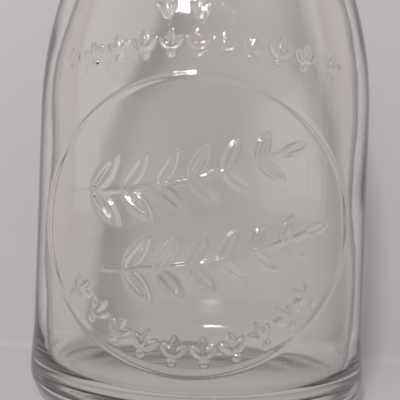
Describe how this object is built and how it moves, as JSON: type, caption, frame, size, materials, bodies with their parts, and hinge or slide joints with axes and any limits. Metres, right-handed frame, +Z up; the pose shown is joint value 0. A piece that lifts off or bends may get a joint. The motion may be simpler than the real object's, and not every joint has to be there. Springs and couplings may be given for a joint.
{
  "type": "milk bottle",
  "caption": "Round clear glass milk bottle with raised leaf decoration on its front, closed by a waxed paperboard disc cap with a lift tab.",
  "frame": {"origin": "middle of the ring that the bottle stands on, at the level of the table", "axes": "+Z up along the bottle's axis and out of its mouth, -Y towards the decorated front, +X to the right of someone who looks at the front"},
  "size_m": [0.0992, 0.0992, 0.2413],
  "materials": {
    "clear_glass": "clear, fire polished, lightly worn",
    "waxed_board": "waxed paperboard, satin",
    "staple_wire": "tinned steel wire"
  },
  "bodies": {
    "bottle": {"glass_bottle": "clear_glass"},
    "cap": {"cap_lower_ply": "waxed_board", "cap_upper_ply": "waxed_board", "staple": "staple_wire"},
    "tab": {"lift_tab": "waxed_board"}
  },
  "joints": [
    {"name": "cap_lift", "type": "slide", "parent": "bottle", "child": "cap", "axis": [0, 0, 1], "range_m": [0, 0.03]},
    {"name": "tab_fold", "type": "hinge", "parent": "cap", "child": "tab", "pos_m": [0, 0.003, 0.2368], "axis": [-1, 0, 0], "range_deg": [0, 110]}
  ]
}
